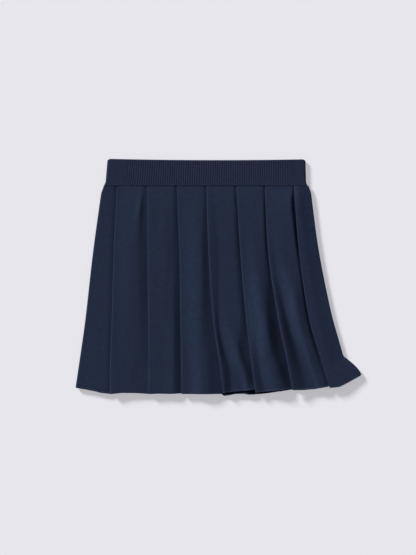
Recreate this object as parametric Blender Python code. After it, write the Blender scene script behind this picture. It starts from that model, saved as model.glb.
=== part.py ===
"""Pleated mini skirt in fine knit with a ribbed waistband, laid flat on its back.

Metres. The front faces up (+Z), the waist points to +Y and the wearer's left to +X.
Heights inside a panel are measured outwards from the plane where front and back meet,
and places on it are measured across from the middle of the waist and down from its seam.
The back is the same kind of panel, turned half a turn about the Y axis.
"""
import math

import bpy

MM = 0.001

# Driving sizes.
LENGTH = 353.5 * MM           # waist seam to the straight part of the hem
BAND_HEIGHT = 45.8 * MM       # waistband, at its two ends
CLOTH = 1.2 * MM              # thickness of the pleated knit
GAP = 0.3 * MM                # clearance between layers and at seams
PLEAT_CLOTH = 110.0 * MM      # cloth from one fold edge to the next
FOLDS = 7                     # fold edges on the front, and again on the back
RIB_PITCH = 3.87 * MM

# How the pleats lie.
LAYER = CLOTH + GAP           # rise from one layer of cloth to the next
TURN = LAYER / 2              # radius of a fold, on the middle line of the cloth
LOW = (GAP + CLOTH) / 2       # height of the innermost layer's middle line
HIGH = LOW + 2 * LAYER        # height of a face where it lies on its own pleat
PARTING = HIGH + CLOTH / 2    # height of the parting plane, so the back rests at zero
HIDDEN_ROLL = 0.8             # a hidden layer rolls down from its fold over less width
CREASE_EDGE = 9.0 * MM        # width over which a crease dies away at a fold
BACK_ROLL = 12.0 * MM         # the back's folds lie pressed
BACK_REACH = 16.0 * MM        # width over which the back's faces sink towards the next fold
BACK_SHARPNESS = 1.5
BACK_SIDE_REACH = 12.0 * MM   # and towards its last side
BACK_GAP = 1.0 * MM

# The two side folds of the flat tube.
SIDE_ROUND = 1.6 * MM         # radius of a side fold, on the middle line
SIDE_HIGH = GAP / 2 + SIDE_ROUND
FRONT_ROOM = 22.0 * MM        # a pleat ends at least this far before the next fold or side
BACK_ROOM = 15.0 * MM
SHOULDER_TUCK = 2.5 * MM      # how far the sides are drawn in at the waist seam
SHOULDER_DROP = 14.0 * MM     # and how far down that reaches
FLARE_WIDTH = 21.6 * MM       # the corner that swings out at the wearer's left
FLARE_START = 0.90            # share of the way down where it begins

# Places of the fold edges and sides across the front, in mm, at five shares of the way down.
DOWN = (0.0, 1 / 3, 2 / 3, 0.85, 1.0)
#               waist   third   two thirds  low    hem
FRONT_EDGES = (
    ("right side", -176.3, -192.0, -205.0, -213.9, -221.5),
    ("fold 1",     -150.3, -155.8, -159.2, -161.5, -161.9),
    ("fold 2",      -99.3,  -98.0,  -96.8,  -96.4,  -97.1),
    ("fold 3",      -48.6,  -44.0,  -42.2,  -41.2,  -40.3),
    ("fold 4",        1.9,    5.6,   13.9,   23.8,   30.9),
    ("fold 5",       52.5,   59.8,   69.9,   77.8,   84.9),
    ("fold 6",      101.0,  106.9,  124.4,  138.0,  147.4),
    ("fold 7",      150.2,  159.4,  176.5,  195.4,  211.0),
    ("left side",   177.8,  192.1,  213.5,  229.8,  243.3),
)

# Height of each face's hem above the straight hem, in mm, at five shares of its width.
ACROSS_FACE = (0.0, 0.3, 0.62, 0.7, 1.0)
FRONT_RISE = (
    ("face 0",   10.4,    7.5,   3.6,   2.0,   0.0),
    ("face 1",    0.0,    1.8,   1.6,   1.4,   0.0),
    ("face 2",    0.0,    0.6,   0.2,   0.3,   1.0),
    ("face 3",    0.0,    0.0,   0.0,   0.0,   0.0),
    ("face 4",    2.0,    3.6,   5.3,   5.6,   7.5),
    ("face 5",    2.4,    4.0,   6.2,   6.6,   8.6),
    ("face 6",    7.0,    7.0,   8.6,  10.0,  13.0),
    ("face 7",   10.5,   12.2,  20.6,  23.2,  31.8),
)

# Along each fold edge, at these shares of the way down: how far it stands off the layers under
# it, how far the lowest layer rises with it, over what width both roll back down, how far before
# it the face to its left starts to sink under it, how sharply (1 is an even slope), and the open
# gap left beside it. All but the sharpness in mm.
FOLD_DOWN = (0.0, 0.08, 0.25, 0.5, 0.68, 0.8, 0.9, 1.0)
FRONT_LIFT = (
    ("fold 1",  0.0,  0.0,  0.3,  0.3,  0.3,  0.3,  0.7,  1.8),
    ("fold 2",  0.3,  1.2,  1.3,  1.2,  1.1,  1.1,  1.3,  1.3),
    ("fold 3",  0.3,  0.3,  0.5,  0.5,  0.5,  0.5,  0.5,  0.5),
    ("fold 4",  0.5,  1.2,  2.0,  2.0,  3.0,  4.9,  5.0,  2.6),
    ("fold 5",  0.0,  0.0,  0.4,  1.0,  2.6,  3.6,  3.4,  2.8),
    ("fold 6",  0.0,  0.0,  0.5,  3.0,  7.0,  8.4,  6.6,  4.6),
    ("fold 7",  0.3,  1.5,  1.4,  1.6,  2.1,  2.3,  2.3,  2.1),
)
FRONT_GROUND = (
    ("fold 1",  0.0,  0.0,  0.0,  0.0,  0.0,  0.0,  0.0,  0.0),
    ("fold 2",  0.2,  1.0,  1.2,  1.1,  1.0,  1.0,  1.2,  1.2),
    ("fold 3",  0.0,  0.3,  0.5,  0.3,  0.0,  0.0,  0.0,  0.0),
    ("fold 4",  0.0,  0.8,  1.7,  1.9,  1.5,  1.2,  0.8,  0.3),
    ("fold 5",  0.0,  0.0,  0.0,  0.0,  0.0,  0.0,  0.9,  2.7),
    ("fold 6",  0.0,  0.0,  0.0,  0.0,  0.0,  0.0,  0.0,  0.0),
    ("fold 7",  0.0,  0.0,  0.2,  1.2,  2.0,  2.2,  2.2,  2.0),
    ("side",    0.0,  0.0,  0.0,  0.0,  0.0,  0.0,  0.0,  0.0),
)
FRONT_ROLL = (
    ("fold 1", 10.0, 10.0, 12.0, 12.0, 12.0, 12.0, 20.0, 30.0),
    ("fold 2", 10.0, 22.0, 26.0, 28.0, 28.0, 30.0, 30.0, 30.0),
    ("fold 3", 10.0, 10.0, 12.0, 12.0, 12.0, 12.0, 12.0, 12.0),
    ("fold 4", 10.0, 14.0, 20.0, 15.0, 10.0, 12.0, 18.0, 13.0),
    ("fold 5", 10.0, 10.0, 12.0, 16.0, 20.0, 15.0, 15.0, 16.0),
    ("fold 6", 10.0, 10.0, 11.0, 13.0, 18.0, 22.0, 26.0, 30.0),
    ("fold 7", 24.0, 26.0, 30.0, 34.0, 36.0, 38.0, 40.0, 44.0),
)
FRONT_REACH = (
    ("fold 1",  8.0,  8.0,  9.0, 10.0, 10.0, 10.0, 10.0, 10.0),
    ("fold 2",  9.0,  9.0, 14.0, 16.0, 17.0, 20.0, 30.0, 36.0),
    ("fold 3",  8.0,  9.0, 11.0, 12.0, 12.0, 13.0, 14.0, 14.0),
    ("fold 4",  8.0,  9.0, 10.5, 11.0, 14.0, 19.0, 24.0, 26.0),
    ("fold 5",  7.0,  8.0, 11.0, 13.0, 12.0, 19.0, 15.0, 11.0),
    ("fold 6",  6.0,  6.0,  7.0, 13.0, 22.0, 23.0, 18.0, 12.0),
    ("fold 7",  4.0,  6.5,  5.0,  4.0,  6.0,  8.0,  8.0,  8.0),
    ("side",   20.0, 20.0, 20.0, 20.0, 20.0, 20.0, 22.0, 26.0),
)
FRONT_SHARPNESS = (
    ("fold 1", 2.0, 2.0, 2.0, 2.0, 2.0, 2.0, 2.0, 2.0),
    ("fold 2", 2.0, 1.4, 1.5, 1.6, 1.6, 1.4, 1.1, 1.1),
    ("fold 3", 2.0, 1.8, 1.8, 1.6, 1.5, 1.5, 1.6, 1.6),
    ("fold 4", 2.0, 2.0, 2.0, 2.0, 2.0, 2.0, 1.8, 1.8),
    ("fold 5", 2.0, 2.2, 2.4, 2.2, 1.8, 1.3, 1.7, 1.4),
    ("fold 6", 2.0, 2.2, 2.4, 2.0, 1.5, 1.4, 1.5, 1.5),
    ("fold 7", 1.6, 1.1, 1.1, 1.6, 1.8, 1.6, 1.6, 1.6),
    ("side",   1.2, 1.2, 1.2, 1.2, 1.2, 1.2, 1.2, 1.2),
)
FRONT_GAP = (
    ("fold 1", 1.0, 1.0, 1.0, 1.0, 1.0, 1.0, 1.0, 1.0),
    ("fold 2", 1.0, 1.0, 1.0, 1.0, 1.0, 1.0, 1.0, 1.0),
    ("fold 3", 1.0, 1.0, 1.0, 1.0, 1.0, 1.0, 1.0, 1.0),
    ("fold 4", 1.0, 1.0, 1.0, 1.0, 1.0, 1.0, 1.0, 1.0),
    ("fold 5", 1.0, 1.0, 1.0, 1.0, 1.0, 1.0, 1.0, 1.0),
    ("fold 6", 1.0, 1.0, 1.0, 1.0, 1.0, 1.0, 1.0, 1.0),
    ("fold 7", 0.0, 1.2, 1.2, 1.0, 0.5, 0.5, 0.5, 0.5),
    ("side",   0.0, 0.0, 0.0, 0.0, 0.0, 0.0, 0.0, 0.0),
)

# Soft creases in the faces of the front, in mm: along each, its place across and how high it
# stands, and how far it reaches to either side.
#     down  across  high  left right
FRONT_CREASES = (
    (1, ((  0, -128.0, 0.0, 18.0, 14.0),
         ( 60, -126.0, 1.4, 18.0, 14.0),
         (140, -124.0, 1.9, 20.0, 20.0),
         (210, -124.0, 1.2, 18.0, 20.0),
         (280, -124.0, 0.0, 16.0, 18.0))),
    (1, ((  8, -109.0, 0.0,  5.0,  3.5),
         ( 24, -111.0, 1.4,  6.0,  3.5),
         ( 38, -111.8, 1.9,  6.0,  3.5),
         ( 52, -113.6, 1.6,  7.0,  4.0),
         ( 75, -114.5, 0.8,  7.0,  5.0),
         (110, -116.0, 0.0,  8.0,  8.0))),
    (2, ((  0,  -72.0, 0.0, 14.0, 12.0),
         ( 60,  -70.0, 1.0, 14.0, 12.0),
         (110,  -70.0, 1.4, 16.0, 12.0),
         (200,  -72.0, 0.8, 14.0, 12.0),
         (260,  -72.0, 0.0, 14.0, 12.0))),
    (2, ((150,  -58.0, 0.0, 20.0,  8.0),
         (190,  -57.0, 0.9, 20.0,  8.0),
         (354,  -55.5, 1.0, 20.0,  8.0))),
    (3, (( 10,  -18.0, 0.0, 14.0, 12.0),
         ( 60,  -13.0, 1.7, 18.0, 12.0),
         (110,  -10.0, 2.8, 20.0, 10.0),
         (180,   -9.0, 3.2, 20.0, 10.0),
         (240,  -10.0, 3.3, 18.0, 13.0),
         (290,   -8.0, 3.4, 14.0, 18.0),
         (330,   -6.0, 3.4, 13.0, 22.0),
         (356,   -7.0, 3.4, 12.0, 24.0))),
    (4, ((200,   30.0, 0.0, 14.0, 14.0),
         (240,   41.0, 1.6, 12.0, 12.0),
         (290,   54.0, 4.4, 10.0, 11.0),
         (315,   63.0, 4.4, 10.0, 11.0),
         (330,   68.0, 3.6,  8.0, 12.0),
         (345,   71.0, 2.6,  6.0, 13.0),
         (356,   73.0, 2.2,  5.0, 13.0))),
    (5, (( 60,   80.0, 0.0, 14.0, 14.0),
         (110,   83.0, 1.2, 12.0, 12.0),
         (145,   87.0, 2.2, 14.0, 12.0),
         (178,   91.0, 4.2, 15.0, 14.0),
         (212,   95.0, 6.2, 16.0, 16.0),
         (238,  100.0, 7.8, 17.0, 18.0),
         (263,  102.0, 8.6, 17.0, 20.0),
         (289,  106.0, 8.2, 16.0, 20.0),
         (311,  113.0, 7.0, 16.0, 20.0),
         (340,  120.0, 5.2, 15.0, 17.0),
         (356,  124.0, 4.4, 15.0, 16.0))),
    (6, ((  6,  147.0, 0.0, 24.0,  3.0),
         ( 22,  145.5, 2.2, 26.0,  3.0),
         ( 50,  147.0, 2.2, 26.0,  3.0),
         ( 90,  151.5, 1.2, 24.0,  3.0),
         (130,  156.0, 0.0, 20.0,  3.0))),
    (6, (( 60,  122.0, 0.0, 12.0, 20.0),
         (110,  128.0, 1.0, 12.0, 18.0),
         (144,  136.0, 2.0, 12.0, 14.0),
         (178,  147.0, 4.6, 12.0, 14.0),
         (212,  153.0, 7.0, 10.5, 15.0),
         (238,  159.0, 7.0,  9.5, 16.0),
         (263,  166.0, 6.0,  8.5, 17.0),
         (289,  174.0, 4.8,  6.5, 18.0),
         (311,  180.0, 3.2,  5.0, 18.0),
         (328,  185.0, 2.2,  4.0, 18.0),
         (345,  190.0, 2.2,  3.5, 18.0),
         (356,  193.0, 2.2,  3.5, 18.0))),
)

# Height of the back's hem above the straight hem, in mm, by its place across the front.
BACK_HEM_PLACE = (-221.5, -185.0, -181.0, -170.0, 25.0, 31.0, 38.0, 52.0, 66.0, 72.0, 80.0,
                  95.0, 108.0, 134.0, 209.5, 264.9)
BACK_HEM_RISE = (10.4, 4.6, 3.0, 2.0, 1.0, -3.4, -2.8, 0.0, 0.3, -1.2, -1.1,
                 -0.3, 1.2, 5.2, 16.0, 31.8)

# Waistband.
BAND_WALL = 3.0 * MM          # the rib is folded double
BAND_SLIT = 0.6 * MM          # between the band's two walls, laid together
BAND_DIP = 1.7 * MM           # the top edge is lower in the middle
BAND_HALF = BAND_WALL + BAND_SLIT / 2    # half of the flat band's thickness
BAND_START = (-171.0 * MM, -167.1 * MM)  # place of its end at -X, at the seam and at the top
BAND_END = (170.9 * MM, 169.7 * MM)      # and of its end at +X
RIB_HEIGHT = 0.45 * MM
RIB_GROOVE = 0.36             # share of a rib's pitch taken by the groove beside it
BAND_BACK_COLUMNS = 16        # plain columns across the band's underside

# Sections down the panels, in shares of the way down.
FRONT_ROWS = (0.0, 0.03, 0.08, 0.16, 0.27, 0.39, 0.5, 0.59, 0.68, 0.76, 0.84, 0.90, 0.93, 0.965, 1.0)
BACK_ROWS = (0.0, 0.03, 0.25, 0.5, 0.72, 0.90, 0.93, 0.965, 1.0)

# Columns across a panel: on a face, shares of the stretch before its last 17 mm, and then mm
# before its end; in a pleat, shares of its depth on the lowest layer and on the one above it.
LAST_STRETCH = 17.0 * MM
FRONT_COLUMNS = {
    "face": (0.0, 0.15, 0.35, 0.58, 0.82),
    "end": (17.0, 13.0, 9.0, 5.5, 2.5, 1.0, 0.0),
    "lowest": (0.25, 0.5, 1.0),
    "above": (1.0, 0.68, 0.4, 0.18, 0.0),
}
BACK_COLUMNS = {
    "face": (0.0, 0.5),
    "end": (17.0, 10.0, 5.0, 1.0, 0.0),
    "lowest": (1.0,),
    "above": (1.0, 0.0),
}

# Rows of the waistband from its top edge down: the height from that edge or from the seam,
# how far its faces and its two ends are drawn in, in mm, and the share of the ribs' height.
#    from      height  faces in  ends in  ribs
BAND_ROWS = (
    ("top",      0.0,     1.0,      2.8,   0.3),
    ("top",     -2.2,     0.0,      0.4,   1.0),
    ("seam",     1.6,     0.0,      0.0,   1.0),
    ("seam",     0.3,     0.8,      0.0,   0.3),
)
SIDE_STEPS = 3
OUTER_TURN_STEPS = 4
INNER_TURN_STEPS = 3

KNIT_COLOUR = (0.0180, 0.0245, 0.0500, 1.0)
RIB_COLOUR = (0.0170, 0.0230, 0.0465, 1.0)
KNIT_ROUGHNESS = 0.88


def clear_scene():
    """Remove what the scene holds."""
    for item in list(bpy.data.objects):
        bpy.data.objects.remove(item, do_unlink=True)


def ease(place, start, end):
    """Go smoothly from 0 at start to 1 at end."""
    share = min(max((place - start) / (end - start), 0.0), 1.0)
    return share * share * (3.0 - 2.0 * share)


def mix(first, second, share):
    """Go straight from first to second."""
    return first + (second - first) * share


def slope(stations, values, index):
    """Slope of a table at one of its stations."""
    before = max(index - 1, 0)
    after = min(index + 1, len(stations) - 1)
    return (values[after] - values[before]) / (stations[after] - stations[before])


def follow(stations, values, place):
    """Read a table anywhere between its stations, on a smooth curve through its values."""
    index = sum(1 for station in stations[1:-1] if station <= place)
    span = stations[index + 1] - stations[index]
    share = (place - stations[index]) / span
    rise = ease(share, 0.0, 1.0)
    leave = slope(stations, values, index) * span * share * (1.0 - share) ** 2
    arrive = slope(stations, values, index + 1) * span * share ** 2 * (share - 1.0)
    return mix(values[index], values[index + 1], rise) + leave + arrive


def straight(stations, values, place):
    """Read a table between its stations, on straight lines."""
    place = min(max(place, stations[0]), stations[-1])
    index = min(sum(1 for station in stations[1:] if station <= place), len(stations) - 2)
    share = (place - stations[index]) / (stations[index + 1] - stations[index])
    return mix(values[index], values[index + 1], share)


def plain_edge(number, share):
    """Place across of a side or fold edge of the front, without the tuck and the flare."""
    return follow(DOWN, FRONT_EDGES[number][1:], share) * MM


def front_edge(number, share):
    """Place across of a side (0 and 8) or fold edge (1 to 7) of the front."""
    place = plain_edge(number, share)
    tuck = SHOULDER_TUCK * (1.0 - ease(share * LENGTH, 0.0, SHOULDER_DROP))
    if number == 0:
        place += tuck
    if number == FOLDS + 1:
        place += FLARE_WIDTH * flare(share) - tuck
    return place


def flare(share):
    """How far the loose corner has swung out, from 0 to 1."""
    turned = max(share - FLARE_START, 0.0) / (1.0 - FLARE_START)
    return math.sin(turned * math.pi / 2)


def back_edge(number, share):
    """Place across of a side or fold edge of the back, seen from behind."""
    if number in (0, FOLDS + 1):
        return -front_edge(FOLDS + 1 - number, share)
    start = -plain_edge(FOLDS + 1, share)
    end = -plain_edge(0, share)
    at_waist = (number - 0.5) / FOLDS
    at_hem = number / (FOLDS + 1)
    return mix(start, end, mix(at_waist, at_hem, share))


def front_rise(number, share_across, _place):
    """Height of the front's hem above the straight hem, on one face."""
    return straight(ACROSS_FACE, FRONT_RISE[number][1:], share_across) * MM


def back_rise(_number, _share_across, place):
    """Height of the back's hem above the straight hem, at a place seen from behind."""
    return straight(BACK_HEM_PLACE, BACK_HEM_RISE, -place / MM) * MM


def front_fold(table, number, share):
    """Read one of the front's fold tables, for one fold edge or the side after the last."""
    return follow(FOLD_DOWN, table[number - 1][1:], share)


def front_stand(number, share):
    """How far a fold edge of the front stands up, and over what width it rolls back down."""
    return front_fold(FRONT_LIFT, number, share) * MM, front_fold(FRONT_ROLL, number, share) * MM


def front_ground(number, share):
    """How far the lowest layer rises with a fold edge of the front."""
    return front_fold(FRONT_GROUND, number, share) * MM


def front_sink(number, share):
    """How the face to the left of a fold edge sinks under it: its reach, sharpness and gap."""
    reach = front_fold(FRONT_REACH, number, share) * MM
    gap = front_fold(FRONT_GAP, number, share) * MM
    return reach, front_fold(FRONT_SHARPNESS, number, share), gap


def back_stand(_number, _share):
    """The back lies pressed flat under the front."""
    return 0.0, BACK_ROLL


def back_ground(_number, _share):
    """The back's lowest layers lie flat."""
    return 0.0


def back_sink(number, _share):
    """The back's faces all sink alike, and the last one less far from its side."""
    return (BACK_SIDE_REACH if number > FOLDS else BACK_REACH), BACK_SHARPNESS, BACK_GAP


FRONT = {
    "edge": front_edge,
    "rise": front_rise,
    "stand": front_stand,
    "ground": front_ground,
    "sink": front_sink,
    "creases": FRONT_CREASES,
    "room": FRONT_ROOM,
    "columns": FRONT_COLUMNS,
    "rows": FRONT_ROWS,
    "outward": 1.0,
}
BACK = {
    "edge": back_edge,
    "rise": back_rise,
    "stand": back_stand,
    "ground": back_ground,
    "sink": back_sink,
    "creases": (),
    "room": BACK_ROOM,
    "columns": BACK_COLUMNS,
    "rows": BACK_ROWS,
    "outward": -1.0,
}


def crease_height(panel, number, across, share):
    """Height of the soft creases at a point of one face."""
    height = 0.0
    down = share * LENGTH / MM
    for face, rows in panel["creases"]:
        if face != number or down < rows[0][0] or down > rows[-1][0]:
            continue
        stations = [row[0] for row in rows]
        values = [follow(stations, [row[column] for row in rows], down) for column in (1, 2, 3, 4)]
        place, top, left, right = values
        aside = across / MM - place
        reach = left if aside < 0.0 else right
        height += top * MM * math.exp(-(aside / reach) ** 2)
    return height


def rolled(place, edge, lift, roll):
    """Height that a standing fold edge still gives at a place beside it."""
    return lift * (1.0 - ease(place, edge + TURN, edge + roll))


def overlap(panel, number, share):
    """Depth of a pleat: half of the cloth that a face of mean width leaves over."""
    edge = panel["edge"]
    mean_width = (edge(FOLDS, share) - edge(1, share)) / (FOLDS - 1)
    room = edge(number + 1, share) - edge(number, share) - panel["room"]
    return min((PLEAT_CLOTH - mean_width) / 2, room)


def down_at(panel, number, share_across, place, share):
    """Distance down from the waist seam to one section, at a point of a face."""
    return share * (LENGTH - panel["rise"](number, share_across, place))


def arc(centre, radius, start, end, steps):
    """Points on an arc, in degrees, as (across, out), without its first and last."""
    points = []
    for step in range(1, steps):
        angle = math.radians(mix(start, end, step / steps))
        points.append((centre[0] + radius * math.cos(angle), centre[1] + radius * math.sin(angle)))
    return points


def face_line(panel, number, share):
    """Middle line of one visible face, from its fold or side to the next, as (across, down, out)."""
    start = panel["edge"](number, share)
    end = panel["edge"](number + 1, share)
    first = start + (TURN if number else CLOTH / 2 + SIDE_ROUND)
    last = end - (CLOTH / 2 + SIDE_ROUND if number == FOLDS else 0.0)
    lift, roll = panel["stand"](number, share) if number else (0.0, BACK_ROLL)
    reach, sharpness, gap = panel["sink"](number + 1, share)
    level = HIGH if number else SIDE_HIGH
    ground = SIDE_HIGH if number == FOLDS else LOW + panel["ground"](number + 1, share)
    columns = panel["columns"]
    places = [mix(first, last - LAST_STRETCH, part) for part in columns["face"]]
    places += [last - distance * MM for distance in columns["end"]]
    line = []
    for place in places:
        down = down_at(panel, number, (place - start) / (end - start), place, share)
        window = ease(place, first, first + CREASE_EDGE)
        out = level + rolled(place, start, lift, roll)
        out += window * crease_height(panel, number, place, share)
        sunk = min(max((place - (last - gap - reach)) / reach, 0.0), 1.0) ** sharpness
        line.append((place, down, mix(out, ground, sunk)))
    return line


def pleat_line(panel, number, share):
    """Middle line of the two layers hidden behind one fold edge, from the inside out.

    They end no lower than the face over them.
    """
    edge = panel["edge"](number, share)
    lift, roll = panel["stand"](number, share)
    rise = panel["ground"](number, share)
    hidden = HIDDEN_ROLL * roll
    inner = edge + overlap(panel, number, share) - TURN
    outer = edge + TURN
    under = LOW + rolled(inner, edge, rise, hidden)
    over = LOW + LAYER + rolled(inner, edge, lift, hidden)
    flat = []
    for part in panel["columns"]["lowest"]:
        place = mix(edge, inner, part)
        flat.append((place, LOW + rolled(place, edge, rise, hidden)))
    flat += arc((inner, (under + over) / 2), (over - under) / 2, -90, 90, INNER_TURN_STEPS)
    for part in panel["columns"]["above"]:
        place = mix(outer, inner, part)
        flat.append((place, LOW + LAYER + rolled(place, edge, lift, hidden)))
    flat += arc((outer, HIGH + lift - TURN), TURN, 270, 90, OUTER_TURN_STEPS)
    before = down_at(panel, number - 1, 1.0, edge, share)
    after = down_at(panel, number, 0.0, edge, share)
    width = panel["edge"](number + 1, share) - edge
    line = []
    for index, (place, out) in enumerate(flat):
        down = mix(before, after, (index + 1) / (len(flat) + 1))
        share_across = min(max((place - edge) / width, 0.0), 1.0)
        face_over = down_at(panel, number, share_across, place, share)
        line.append((place, min(down, face_over), out))
    return line


def side_line(panel, number, share):
    """Middle line of a side fold, from the parting plane up, as (across, down, out)."""
    edge = panel["edge"](number, share)
    inward = 1.0 if number == 0 else -1.0
    foot = edge + inward * CLOTH / 2
    centre = (foot + inward * SIDE_ROUND, GAP / 2)
    start = 180 if number == 0 else 0
    flat = [(foot, GAP / 2)]
    flat += arc(centre, SIDE_ROUND, start, 90, SIDE_STEPS)
    face = 0 if number == 0 else FOLDS
    share_across = 0.0 if number == 0 else 1.0
    down = down_at(panel, face, share_across, edge, share)
    return [(place, down, out) for place, out in flat]


def section(panel, share):
    """Middle line of the whole panel at one share of the way down."""
    line = side_line(panel, 0, share)
    line += face_line(panel, 0, share)
    for number in range(1, FOLDS + 1):
        line += pleat_line(panel, number, share)
        line += face_line(panel, number, share)
    line += reversed(side_line(panel, FOLDS + 1, share))
    return line


def outward(before, after):
    """Unit vector at right angles to a step across and out."""
    across = after[0] - before[0]
    out = after[2] - before[2]
    size = math.hypot(across, out)
    return (-out / size, across / size)


def offset(line, distance):
    """Move a middle line outwards by a distance, at right angles to each step.

    Its two ends stand on the parting plane and move straight across.
    """
    moved = []
    last = len(line) - 1
    for index, (across, down, out) in enumerate(line):
        first = outward(line[max(index - 1, 0)], line[max(index, 1)])
        second = outward(line[min(index, last - 1)], line[min(index + 1, last)])
        turn = 1.0 + first[0] * second[0] + first[1] * second[1]
        across += distance * (first[0] + second[0]) / turn
        out += distance * (first[1] + second[1]) / turn
        moved.append((across, down, out))
    for index, aside in ((0, -distance), (last, distance)):
        across, down, out = line[index]
        moved[index] = (across + aside, down, out)
    return moved


def strips(first, second):
    """Triangles between two lists of point numbers, all split the same way."""
    faces = []
    for index in range(len(first) - 1):
        faces.append((first[index], second[index], second[index + 1]))
        faces.append((first[index], second[index + 1], first[index + 1]))
    return faces


def flipped(faces):
    """The same triangles, facing the other way."""
    return [tuple(reversed(face)) for face in faces]


def wall(outer, inner, ring=False):
    """Close two matching grids of points into one wall, and give its points and triangles."""
    rows = len(outer)
    columns = len(outer[0])
    points = [point for grid in (outer, inner) for row in grid for point in row]
    order = list(range(columns)) + ([0] if ring else [])
    outside = [[row * columns + column for column in order] for row in range(rows)]
    inside = [[rows * columns + number for number in row] for row in outside]
    faces = []
    for row in range(rows - 1):
        faces += strips(outside[row], outside[row + 1])
        faces += flipped(strips(inside[row], inside[row + 1]))
    faces += strips(inside[0], outside[0])
    faces += strips(outside[-1], inside[-1])
    if not ring:
        faces += strips([row[0] for row in outside], [row[0] for row in inside])
        faces += strips([row[-1] for row in inside], [row[-1] for row in outside])
    return points, faces


def place_on_panel(panel, point):
    """Turn (across, down, out) on a panel into a point of the skirt."""
    across, down, out = point
    sign = panel["outward"]
    return (sign * across, -down, PARTING + sign * out)


def add_solid(name, points, faces, material, collection):
    """Make one named object from points and faces."""
    mesh = bpy.data.meshes.new(name)
    mesh.from_pydata(points, [], faces)
    mesh.update()
    mesh.shade_smooth()
    mesh.set_sharp_from_angle(angle=math.radians(35))
    mesh.materials.append(material)
    item = bpy.data.objects.new(name, mesh)
    collection.objects.link(item)
    return item


def knit_material(name, colour):
    """Matt navy knit."""
    material = bpy.data.materials.new(name)
    material.use_nodes = True
    shader = material.node_tree.nodes["Principled BSDF"]
    shader.inputs["Base Color"].default_value = colour
    shader.inputs["Roughness"].default_value = KNIT_ROUGHNESS
    shader.inputs["Metallic"].default_value = 0.0
    material.diffuse_color = colour
    return material


def pleated_panel(name, panel, material, collection):
    """The front or the back, a pleated wall from side fold to side fold."""
    outer = []
    inner = []
    for share in panel["rows"]:
        line = section(panel, share)
        outer.append([place_on_panel(panel, point) for point in offset(line, CLOTH / 2)])
        inner.append([place_on_panel(panel, point) for point in offset(line, -CLOTH / 2)])
    points, faces = wall(outer, inner)
    return add_solid(name, points, faces, material, collection)


def band_column(there, width):
    """Share along the band and direction out, at a distance round it from its end at -X."""
    quarter = BAND_HALF * math.pi / 2
    lengths = (quarter, width, 2 * quarter, width, quarter)
    alongs = ((0.0, 0.0), (0.0, 1.0), (1.0, 1.0), (1.0, 0.0), (0.0, 0.0))
    angles = ((180, 90), (90, 90), (90, -90), (-90, -90), (-90, -180))
    stretch = 0
    while stretch < len(lengths) - 1 and there > lengths[stretch]:
        there -= lengths[stretch]
        stretch += 1
    share = min(there / lengths[stretch], 1.0)
    return mix(*alongs[stretch], share), math.radians(mix(*angles[stretch], share))


def band_columns():
    """The band's columns, ribbed over the front and plain below, as (along, direction, rib)."""
    width = BAND_END[0] - BAND_START[0] - 2 * BAND_HALF
    quarter = BAND_HALF * math.pi / 2
    front = width + 2 * quarter
    ribs = round(front / RIB_PITCH)
    columns = []
    for rib in range(ribs):
        for part, height in ((RIB_GROOVE / 2, 1.0), (1.0 - RIB_GROOVE / 2, 1.0), (1.0, 0.0)):
            along, angle = band_column((rib + part) * front / ribs, width)
            columns.append((along, angle, height * RIB_HEIGHT))
    below = [quarter * step / SIDE_STEPS for step in range(1, SIDE_STEPS)]
    below += [quarter + width * step / BAND_BACK_COLUMNS for step in range(BAND_BACK_COLUMNS + 1)]
    below += [quarter + width + quarter * step / SIDE_STEPS for step in range(1, SIDE_STEPS + 1)]
    for there in below:
        along, angle = band_column(front + there, width)
        columns.append((along, angle, 0.0))
    return columns


def band_top(along):
    """Height of the band's top edge above its seam, lower in the middle."""
    aside = 2.0 * along - 1.0
    return BAND_HEIGHT - BAND_DIP * (1.0 - aside * aside)


def band_point(along, angle, height, ends_in, reach):
    """A point of the band, at a reach from the middle line of its flat section."""
    share = height / BAND_HEIGHT
    start = mix(BAND_START[0], BAND_START[1], share) + BAND_HALF + ends_in
    end = mix(BAND_END[0], BAND_END[1], share) - BAND_HALF - ends_in
    across = mix(start, end, along) + reach * math.cos(angle)
    return (across, height, BAND_HALF + reach * math.sin(angle))


def waistband(material, collection):
    """The ribbed band, a flat tube whose underside is plain where it rests."""
    outer = []
    inner = []
    for edge, height, faces_in, ends_in, rib_share in BAND_ROWS:
        outer_row = []
        inner_row = []
        for along, angle, rib in band_columns():
            there = height * MM + (band_top(along) if edge == "top" else 0.0)
            reach = BAND_HALF - faces_in * MM + rib * rib_share
            outer_row.append(band_point(along, angle, there, ends_in * MM, reach))
            inner_row.append(band_point(along, angle, there, ends_in * MM, BAND_SLIT / 2))
        outer.append(outer_row)
        inner.append(inner_row)
    points, faces = wall(outer, inner, ring=True)
    return add_solid("waistband", points, faces, material, collection)


def centre_on_floor(items):
    """Move all pieces together so that the origin is under the middle of their box."""
    corners = [vertex.co for item in items for vertex in item.data.vertices]
    middle_x = (min(point.x for point in corners) + max(point.x for point in corners)) / 2
    middle_y = (min(point.y for point in corners) + max(point.y for point in corners)) / 2
    for item in items:
        item.location = (-middle_x, -middle_y, 0.0)


def build():
    """Make the skirt."""
    clear_scene()
    collection = bpy.data.collections.new("pleated_mini_skirt")
    bpy.context.scene.collection.children.link(collection)
    knit = knit_material("pleat_knit", KNIT_COLOUR)
    rib = knit_material("rib_knit", RIB_COLOUR)
    items = [
        waistband(rib, collection),
        pleated_panel("skirt_front", FRONT, knit, collection),
        pleated_panel("skirt_back", BACK, knit, collection),
    ]
    centre_on_floor(items)


build()
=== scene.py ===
"""Looks of a pleated navy knit mini skirt, laid flat on its back and seen from straight above.

Metres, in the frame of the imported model: +X to the wearer's left, +Y to the waist, +Z up.
Places on a panel are given across from the middle of the waist and down from its seam, and
heights outwards from the plane where the front and the back meet.
"""
import math

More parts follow.
